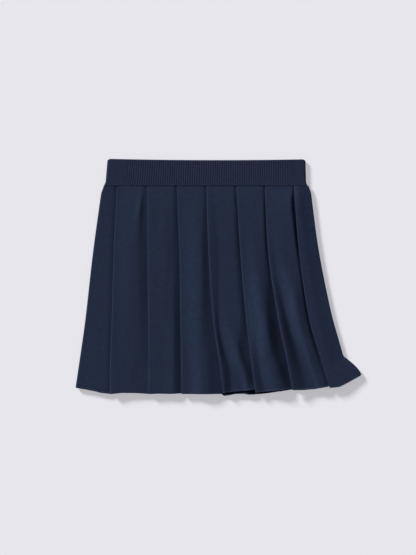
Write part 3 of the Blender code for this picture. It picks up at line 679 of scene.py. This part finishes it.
def pleat_line(panel, number, share):
    """Middle line of the two layers hidden behind one fold edge, in the same columns."""
    edge = panel["edge"](number, share)
    place, out = pleat_profile(panel, number, share).T
    before = down_at(panel, number - 1, 1.0, edge, share)
    after = down_at(panel, number, 0.0, edge, share)
    steps = np.arange(1, len(place) + 1) / (len(place) + 1)
    share_across = np.clip((place - edge) / (panel["edge"](number + 1, share) - edge), 0.0, 1.0)
    face_over = down_at(panel, number, share_across, place, share)
    down = np.minimum(mix(before, after, steps), face_over)
    # the fold edge's outer turn is marked to be painted paler: partly wear, partly a painted highlight
    wear_and_highlight = np.zeros(len(place))
    wear_and_highlight[-(OUTER_TURN_STEPS - 1):] = np.sin(np.linspace(0.0, math.pi, OUTER_TURN_STEPS + 1)[1:-1])
    return np.stack([place, down, out, wear_and_highlight], axis=1)


def side_line(panel, number, share):
    """Middle line of a side fold, from the parting plane up, in the same columns."""
    at_start = number == 0
    inward = 1.0 if at_start else -1.0
    edge = panel["edge"](number, share)
    foot = edge + inward * CLOTH / 2
    centre = (foot + inward * SIDE_ROUND, GAP / 2)
    turn = arc(centre, SIDE_ROUND, 180 if at_start else 0, 90, SIDE_STEPS)
    flat = np.array([(foot, GAP / 2)] + turn)
    face, share_across = (0, 0.0) if at_start else (FOLDS, 1.0)
    down = np.full(len(flat), float(down_at(panel, face, share_across, edge, share)))
    # the side folds are marked less: partly wear, partly a painted highlight
    wear_and_highlight = np.full(len(flat), SIDE_WEAR_AND_HIGHLIGHT)
    return np.stack([flat[:, 0], down, flat[:, 1], wear_and_highlight], axis=1)


def section(panel, share):
    """Middle line of the whole panel at one share of the way down, in the same columns."""
    pieces = [side_line(panel, 0, share), face_line(panel, 0, share)]
    for number in range(1, FOLDS + 1):
        pieces += [pleat_line(panel, number, share), face_line(panel, number, share)]
    pieces.append(side_line(panel, FOLDS + 1, share)[::-1])
    return np.concatenate(pieces)


def cloth_width(panel):
    """Mean width of a panel's cloth with its pleats laid open."""
    widths = []
    for share in np.linspace(0.0, 1.0, CUT_SAMPLES):
        line = section(panel, share)
        steps = np.diff(line[:, [0, 2]], axis=0)
        widths.append(np.linalg.norm(steps, axis=1).sum())
    return float(np.mean(widths))


def row_shares():
    """Shares of the way down of the panel's rows, closer together at the seam and the hem."""
    top = np.array(SEAM_ROWS) * MM / LENGTH
    bottom = 1.0 - np.array(HEM_ROWS) * MM / LENGTH
    middle = np.linspace(top[-1], bottom[0], ROWS - len(top) - len(bottom) + 2)[1:-1]
    return np.concatenate([top, middle, bottom])


# ---------------------------------------------------------------- meshes

def normals_of(grid):
    """Unit normals of a grid of points (rows, columns, 3), outwards on a panel."""
    across = np.gradient(grid, axis=1)
    along = np.gradient(grid, axis=0)
    normal = np.cross(along, across)
    return normal / np.linalg.norm(normal, axis=2, keepdims=True)


def strips(first, second):
    """Quads between two lists of point numbers."""
    return np.stack([first[:-1], second[:-1], second[1:], first[1:]], axis=1)


def wall_faces(rows, columns, ring):
    """Quads of one thin wall, closed all round, over an outer and an inner grid of points."""
    order = np.arange(columns + 1) % columns if ring else np.arange(columns)
    outside = np.arange(rows)[:, None] * columns + order[None, :]
    inside = outside + rows * columns
    faces = []
    for row in range(rows - 1):
        faces.append(strips(outside[row], outside[row + 1]))
        faces.append(strips(inside[row], inside[row + 1])[:, ::-1])
    faces.append(strips(inside[0], outside[0]))
    faces.append(strips(outside[-1], inside[-1]))
    if not ring:
        faces.append(strips(outside[:, 0], inside[:, 0]))
        faces.append(strips(inside[:, -1], outside[:, -1]))
    return np.concatenate(faces)


def cloth_at_corners(cloth, faces, ring):
    """Cloth coordinates at every corner of the faces, without a jump where a ring closes."""
    both = np.concatenate([cloth.reshape(-1, 2), cloth.reshape(-1, 2)])
    at_corner = both[faces]
    if ring:
        round_length = cloth[..., 0].max() + RIB_PITCH / RIB_STEPS
        gap = at_corner[..., 0].max(axis=1, keepdims=True) - at_corner[..., 0]
        at_corner[..., 0] += np.where(gap > round_length / 2, round_length, 0.0)
    return at_corner


def wall_mesh(name, outer, inner, cloth, wear_and_highlight, material, ring=False):
    """Close two matching grids of points into one thin wall, with its cloth coordinates."""
    points = np.concatenate([outer.reshape(-1, 3), inner.reshape(-1, 3)])
    faces = wall_faces(*outer.shape[:2], ring)
    mesh = bpy.data.meshes.new(name)
    mesh.vertices.add(len(points))
    mesh.vertices.foreach_set("co", points.astype(np.float32).ravel())
    mesh.loops.add(faces.size)
    mesh.loops.foreach_set("vertex_index", faces.ravel().astype(np.int32))
    mesh.polygons.add(len(faces))
    mesh.polygons.foreach_set("loop_start", np.arange(0, faces.size, 4, dtype=np.int32))
    mesh.update(calc_edges=True)
    at_corner = cloth_at_corners(cloth, faces, ring)
    layer = mesh.uv_layers.new(name="cloth")
    layer.uv.foreach_set("vector", at_corner.astype(np.float32).ravel())
    wear_and_highlight_both = np.concatenate([wear_and_highlight.ravel(), wear_and_highlight.ravel() * 0.0])
    attribute = mesh.attributes.new("wear_and_highlight", "FLOAT", "POINT")
    attribute.data.foreach_set("value", wear_and_highlight_both.astype(np.float32))
    mesh.materials.append(material)
    mesh.shade_smooth()
    mesh.set_sharp_from_angle(angle=math.radians(SHARP_ANGLE))
    item = bpy.data.objects.new(name, mesh)
    bpy.context.scene.collection.objects.link(item)
    return item


def round_inside(half, line, wear_and_highlight):
    """Make the pressed folds round inside, so that the wall doesn't cross itself there."""
    inside = TURN - CLOTH / 2
    share = np.array([1.0 - inside / (PRESS * TURN), 0.0, 1.0 - inside / TURN])
    folded = np.nonzero(wear_and_highlight > SIDE_WEAR_AND_HIGHLIGHT)[0]
    for fold in np.split(folded, np.nonzero(np.diff(folded) > 1)[0] + 1):
        centre = (line[:, fold[0] - 1] + line[:, fold[-1] + 1]) / 2
        half[:, fold] = (line[:, fold] - centre[:, None]) * share
    return half


def panel_piece(name, panel, material):
    """The front or the back: one wall of knit with its pleats folded in."""
    shares = row_shares()
    grid = np.array([section(panel, share) for share in shares])
    squeeze = squeeze_at(grid[..., 0], grid[..., 1])
    grid[..., 2] *= squeeze
    for row, share in enumerate(shares):
        grid[row, :, 2] -= panel["curl"](grid[row, :, 0], share)
    sign = panel["outward"]
    line = np.stack([grid[..., 0], -grid[..., 1], grid[..., 2]], axis=2)
    steps = np.linalg.norm(np.diff(line[len(line) // 2], axis=0), axis=1)
    round_cloth = np.concatenate([[0.0], np.cumsum(steps)])
    cloth = np.stack([np.broadcast_to(round_cloth, grid.shape[:2]), grid[..., 1]], axis=2)
    above = (1.0 - shares) * LENGTH
    thickness = mix(HEM_THINNEST, 1.0, np.sqrt(1.0 - (1.0 - np.minimum(above / HEM_ROUND, 1.0)) ** 2))
    thinned = thickness[:, None, None]
    half = normals_of(line) * CLOTH / 2 * squeeze[..., None]
    outer = line + half * thinned
    inner = line - round_inside(half, line, grid[0, :, 3]) * thinned
    turned = np.array([sign, 1.0, sign])
    shift = np.array([WAIST[0], WAIST[1], PARTING])
    return wall_mesh(name, outer * turned + shift, inner * turned + shift, cloth, grid[..., 3], material)


def band_column(there, width):
    """Share along the band and direction out, at a distance round it from its end at -X."""
    quarter = BAND_HALF * math.pi / 2
    lengths = (quarter, width, 2 * quarter, width, quarter)
    alongs = ((0.0, 0.0), (0.0, 1.0), (1.0, 1.0), (1.0, 0.0), (0.0, 0.0))
    angles = ((180, 90), (90, 90), (90, -90), (-90, -90), (-90, -180))
    stretch = 0
    while stretch < len(lengths) - 1 and there > lengths[stretch]:
        there -= lengths[stretch]
        stretch += 1
    share = min(there / lengths[stretch], 1.0)
    return mix(*alongs[stretch], share), math.radians(mix(*angles[stretch], share))


def rounding(distance, size):
    """How far a rounded edge is drawn in, at a distance from it; the size is (depth, width)."""
    share = 1.0 - np.clip(distance / size[1], 0.0, 1.0)
    return size[0] * (1.0 - np.sqrt(1.0 - share * share))


def band_heights(columns):
    """Heights of the band's rows above its seam, from the top edge down, for every column."""
    aside = 2.0 * columns[:, 0] - 1.0
    top_edge = BAND_HEIGHT - BAND_DIP * (1.0 - aside * aside) - BAND_LEAN * aside / 2
    lowest = [GAP + height * MM for height in BAND_SEAM_ROWS]
    highest = [top_edge - depth * MM for depth in BAND_TOP_ROWS]
    steps = np.linspace(0.0, 1.0, BAND_MIDDLE_ROWS + 2)[1:-1]
    middle = [mix(lowest[-1], highest[0], share) for share in steps]
    rows = [np.broadcast_to(height, top_edge.shape) for height in lowest] + middle + highest
    return top_edge, rows[::-1]


def rib_profile(count, there, around):
    """Height of the ribs round the band, nearly flat towards its two ends."""
    phase = (np.arange(count) % RIB_STEPS) / RIB_STEPS
    from_end = np.minimum(there % (around / 2), around / 2 - there % (around / 2))
    fade = mix(RIB_FAINTEST, 1.0, ease(from_end, *RIB_FADE))
    return RIB_HEIGHT * fade, np.sin(phase * math.pi) ** RIB_FULLNESS


def band_round():
    """Distance round the band at its seam."""
    return 2 * (BAND_END[0] - BAND_START[0] - 2 * BAND_HALF) + 2 * math.pi * BAND_HALF


def band_row(height, top_edge, columns, raised):
    """Outer and inner points of one row of the band."""
    cos = np.cos(columns[:, 1])
    sin = np.sin(columns[:, 1])
    from_seam = height - GAP
    from_top = top_edge - height
    lip = np.exp(-((from_seam - SEAM_LIP[1]) / SEAM_LIP[1]) ** 2)
    drawn_in = rounding(from_top, TOP_ROUND) + rounding(from_seam, SEAM_ROUND)
    drawn_in -= SEAM_LIP[0] * lip * (sin > 0.0)
    ends_in = END_ROUND[0] * (1.0 - ease(from_top, 0.0, END_ROUND[1]))
    ends_in -= END_SPREAD[0] * (1.0 - ease(from_seam, 0.0, END_SPREAD[1])) ** 2
    part = height / BAND_HEIGHT
    start = mix(BAND_START[0], BAND_START[1], part) + BAND_HALF + ends_in
    end = mix(BAND_END[0], BAND_END[1], part) - BAND_HALF - ends_in
    across = mix(start, end, columns[:, 0])
    rib_share = mix(RIB_AT_TOP, 1.0, ease(from_top, 0.0, TOP_ROUND[1]))
    reach = BAND_HALF - drawn_in + raised * rib_share
    slit = BAND_SLIT / 2
    outer = np.stack([across + reach * cos, height, BAND_HALF + reach * sin], axis=1)
    inner = np.stack([across + slit * cos, height, BAND_HALF + slit * sin], axis=1)
    return outer, inner


def waistband(material):
    """The doubled rib band, a flat tube with a rounded top edge."""
    width = BAND_END[0] - BAND_START[0] - 2 * BAND_HALF
    around = band_round()
    count = round(around / RIB_PITCH) * RIB_STEPS
    there = np.arange(count) * around / count
    columns = np.array([band_column(place, width) for place in there])
    rib, profile = rib_profile(count, there, around)
    cut_in = np.sin(columns[:, 1]) < BAND_REST
    raised = np.where(cut_in, rib * (profile - 1.0), rib * profile)
    top_edge, heights = band_heights(columns)
    rows = np.array([band_row(height, top_edge, columns, raised) for height in heights])
    outer, inner = rows[:, 0], rows[:, 1]
    cloth = np.array([np.stack([there, height], axis=1) for height in heights])
    wear_and_highlight = np.zeros(cloth.shape[:2])
    shift = np.array([WAIST[0], WAIST[1], 0.0])
    return wall_mesh("waistband_rib", outer + shift, inner + shift, cloth, wear_and_highlight, material, ring=True)


# ---------------------------------------------------------------- materials

def add_node(tree, kind, **settings):
    """A new node with its settings."""
    made = tree.nodes.new(kind)
    for key, value in settings.items():
        setattr(made, key, value)
    return made


def math_node(tree, operation, *values):
    """The result of one step of arithmetic on numbers or on other nodes' results."""
    made = add_node(tree, "ShaderNodeMath", operation=operation)
    for socket, value in zip(made.inputs, values):
        if isinstance(value, (int, float)):
            socket.default_value = value
        else:
            tree.links.new(value, socket)
    return made.outputs[0]


def noise_node(tree, coordinates, size):
    """Noise on the object's own coordinates; the size is (scale, detail)."""
    made = add_node(tree, "ShaderNodeTexNoise")
    made.inputs["Scale"].default_value = size[0]
    made.inputs["Detail"].default_value = size[1]
    tree.links.new(coordinates.outputs["Object"], made.inputs["Vector"])
    return made.outputs["Fac"]


def stitch_height(tree, stitch_size):
    """Height of the knit's stitches: two legs that lean together into a V, between two grooves."""
    wale, course = stitch_size
    place = add_node(tree, "ShaderNodeUVMap", uv_map="cloth")
    split = add_node(tree, "ShaderNodeSeparateXYZ")
    tree.links.new(place.outputs["UV"], split.inputs[0])
    across = math_node(tree, "FRACT", math_node(tree, "DIVIDE", split.outputs[0], wale))
    aside = math_node(tree, "ABSOLUTE", math_node(tree, "MULTIPLY_ADD", across, 2.0, -1.0))
    lean = math_node(tree, "MULTIPLY", aside, LEG_LEAN)
    leaning = math_node(tree, "MULTIPLY_ADD", split.outputs[1], 1.0 / course, lean)
    along = math_node(tree, "FRACT", leaning)
    from_middle = math_node(tree, "ABSOLUTE", math_node(tree, "MULTIPLY_ADD", along, 2.0, -1.0))
    leg = math_node(tree, "SUBTRACT", 1.0, from_middle)
    between = math_node(tree, "SUBTRACT", 1.0, math_node(tree, "POWER", aside, WALE_POWER))
    relief = math_node(tree, "MULTIPLY_ADD", leg, LEG_DEPTH, 1.0 - LEG_DEPTH)
    return math_node(tree, "MULTIPLY", between, relief)


def knit_material(name, colour, stitch_size):
    """Navy knit: rows of stitches across and along the cloth, with a slight mottle, painted shade in the
    stitches' grooves, and fold edges painted paler for wear and highlight.
    """
    material = bpy.data.materials.new(name)
    material.use_nodes = True
    tree = material.node_tree
    shader = tree.nodes["Principled BSDF"]
    stitch = stitch_height(tree, stitch_size)
    coordinates = add_node(tree, "ShaderNodeTexCoord")
    mottle = noise_node(tree, coordinates, MOTTLE)
    grain = noise_node(tree, coordinates, GRAIN)
    fuzz = noise_node(tree, coordinates, FUZZ)

    # the colour follows the stitches' relief: painted shade in their grooves
    shade = math_node(tree, "MULTIPLY_ADD", stitch, STITCH_PAINTED_SHADE, BASE_TONE)
    uneven = math_node(tree, "MULTIPLY_ADD", mottle, MOTTLE_TONE, -MOTTLE_TONE / 2)
    shade = math_node(tree, "ADD", shade, uneven)
    grained = math_node(tree, "MULTIPLY_ADD", grain, GRAIN_TONE, -GRAIN_TONE / 2)
    shade = math_node(tree, "ADD", shade, grained)
    # paler along the marked fold edges: partly wear, partly a painted highlight
    wear_and_highlight = add_node(tree, "ShaderNodeAttribute", attribute_name="wear_and_highlight")
    paler_for_wear_and_highlight = math_node(tree, "MULTIPLY", wear_and_highlight.outputs["Fac"], WEAR_AND_HIGHLIGHT_TONE)
    shade = math_node(tree, "ADD", shade, paler_for_wear_and_highlight)
    tint = add_node(tree, "ShaderNodeVectorMath", operation="SCALE")
    tint.inputs[0].default_value = colour
    tree.links.new(shade, tint.inputs["Scale"])
    tree.links.new(tint.outputs[0], shader.inputs["Base Color"])

    rough = math_node(tree, "MULTIPLY_ADD", fuzz, FUZZ_ROUGHNESS, ROUGHNESS)
    tree.links.new(rough, shader.inputs["Roughness"])
    height = math_node(tree, "ADD", stitch, math_node(tree, "MULTIPLY", fuzz, FUZZ_HEIGHT))
    bump = add_node(tree, "ShaderNodeBump")
    bump.inputs["Strength"].default_value = BUMP_STRENGTH
    bump.inputs["Distance"].default_value = BUMP_HEIGHT
    tree.links.new(height, bump.inputs["Height"])
    tree.links.new(bump.outputs[0], shader.inputs["Normal"])
    shader.inputs["Specular IOR Level"].default_value = SPECULAR
    shader.inputs["Sheen Weight"].default_value = SHEEN
    shader.inputs["Sheen Roughness"].default_value = SHEEN_ROUGHNESS
    shader.inputs["Sheen Tint"].default_value = SHEEN_TINT
    return material


def floor_material():
    """Plain pale floor, partly lit by itself so that its shadows stay light."""
    material = bpy.data.materials.new("floor_pale")
    material.use_nodes = True
    shader = material.node_tree.nodes["Principled BSDF"]
    shader.inputs["Base Color"].default_value = (*[FLOOR_ALBEDO * part for part in FLOOR_TINT], 1.0)
    shader.inputs["Roughness"].default_value = 1.0
    shader.inputs["Specular IOR Level"].default_value = 0.0
    shader.inputs["Emission Color"].default_value = (*FLOOR_TINT, 1.0)
    shader.inputs["Emission Strength"].default_value = FLOOR_GLOW
    return material


# ---------------------------------------------------------------- stage, light and camera

def stage():
    """The floor that the skirt lies on."""
    mesh = bpy.data.meshes.new("floor")
    signs = ((-1, -1), (1, -1), (1, 1), (-1, 1))
    corners = [(FLOOR_HALF * across, FLOOR_HALF * along, 0.0) for across, along in signs]
    mesh.from_pydata(corners, [], [(0, 1, 2, 3)])
    mesh.materials.append(floor_material())
    item = bpy.data.objects.new("floor", mesh)
    bpy.context.scene.collection.objects.link(item)
    item.location.z = cad_low[2] - FLOOR_DROP


def lights():
    """One soft light from the upper left, and even light all round."""
    sun = bpy.data.lights.new("key_light", "SUN")
    sun.energy = math.pi * SUN_SHARE / math.sin(math.radians(SUN_ELEVATION))
    sun.angle = math.radians(SUN_SOFTNESS)
    item = bpy.data.objects.new("key_light", sun)
    tilt = math.radians(90.0 - SUN_ELEVATION)
    item.rotation_euler = (0.0, tilt, math.radians(SUN_BEARING))
    bpy.context.scene.collection.objects.link(item)
    world = bpy.data.worlds.new("studio")
    world.use_nodes = True
    background = world.node_tree.nodes["Background"]
    background.inputs["Color"].default_value = (1.0, 1.0, 1.0, 1.0)
    background.inputs["Strength"].default_value = 1.0 - SUN_SHARE
    bpy.context.scene.world = world


def camera():
    """Straight above, framed as the photograph is."""
    data = bpy.data.cameras.new("camera")
    data.sensor_width = SENSOR
    data.lens = SENSOR * CAMERA_HEIGHT / (PHOTO_HEIGHT * MM_PER_PIXEL * MM)
    data.clip_end = CAMERA_RANGE
    item = bpy.data.objects.new("camera", data)
    across = (PHOTO_WIDTH / 2 - WAIST_PIXEL[0]) * MM_PER_PIXEL * MM
    down = (PHOTO_HEIGHT / 2 - WAIST_PIXEL[1]) * MM_PER_PIXEL * MM
    item.location = (WAIST[0] + across, WAIST[1] - down, CAMERA_HEIGHT + CLOTH_LEVEL)
    bpy.context.scene.collection.objects.link(item)
    bpy.context.scene.camera = item


camera()
lights()
stage()
bpy.context.scene.view_settings.view_transform = "Standard"

pleat_knit = knit_material("navy_pleat_knit", PLEAT_COLOUR, PLEAT_STITCH)
rib_knit = knit_material("navy_rib_knit", RIB_COLOUR, RIB_STITCH)

front = panel_piece("front_panel", FRONT, pleat_knit)
back = panel_piece("back_panel", BACK, pleat_knit)
band = waistband(rib_knit)
for piece, node, slot in (
    (front, "skirt_front", "pleat_knit"),
    (back, "skirt_back", "pleat_knit"),
    (band, "waistband", "rib_knit"),
):
    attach(piece, "root")
    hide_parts(node)

cloth_width(FRONT)
cloth_width(BACK)
